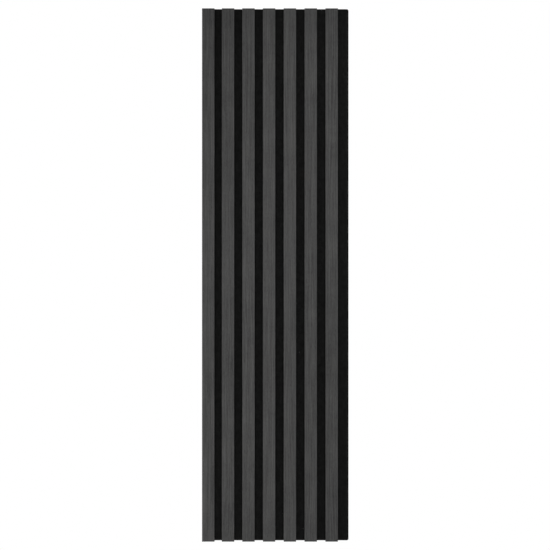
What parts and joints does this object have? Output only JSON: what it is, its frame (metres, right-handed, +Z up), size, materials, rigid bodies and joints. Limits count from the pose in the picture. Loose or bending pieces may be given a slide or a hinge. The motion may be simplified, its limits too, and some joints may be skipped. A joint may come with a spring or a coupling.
{
  "type": "acoustic slat wall panel",
  "caption": "Upright wall panel of narrow charcoal veneered slats on a black felt backing board, which runs past the last slat as a margin for the next panel.",
  "frame": {"origin": "middle of the felt board's back face, which lies against the wall", "axes": "+Z up along the slats, +Y into the wall, so that the slats face -Y, and +X to the right as seen from the room, towards the felt's free margin"},
  "size_m": [0.285, 0.021, 1.035],
  "materials": {
    "felt": "matt needle-punched felt",
    "black_fibreboard": "fine sawn, dull",
    "charcoal_veneer": "stained, matt lacquer",
    "staple_steel": "galvanised wire"
  },
  "bodies": {
    "root": {"felt_backing": "felt", "slat_core_1": "black_fibreboard", "slat_core_2": "black_fibreboard", "slat_core_3": "black_fibreboard", "slat_core_4": "black_fibreboard", "slat_core_5": "black_fibreboard", "slat_core_6": "black_fibreboard", "slat_core_7": "black_fibreboard", "slat_veneer_1": "charcoal_veneer", "slat_veneer_2": "charcoal_veneer", "slat_veneer_3": "charcoal_veneer", "slat_veneer_4": "charcoal_veneer", "slat_veneer_5": "charcoal_veneer", "slat_veneer_6": "charcoal_veneer", "slat_veneer_7": "charcoal_veneer", "slat_staples_1": "staple_steel", "slat_staples_2": "staple_steel", "slat_staples_3": "staple_steel", "slat_staples_4": "staple_steel", "slat_staples_5": "staple_steel", "slat_staples_6": "staple_steel", "slat_staples_7": "staple_steel"}
  },
  "joints": []
}
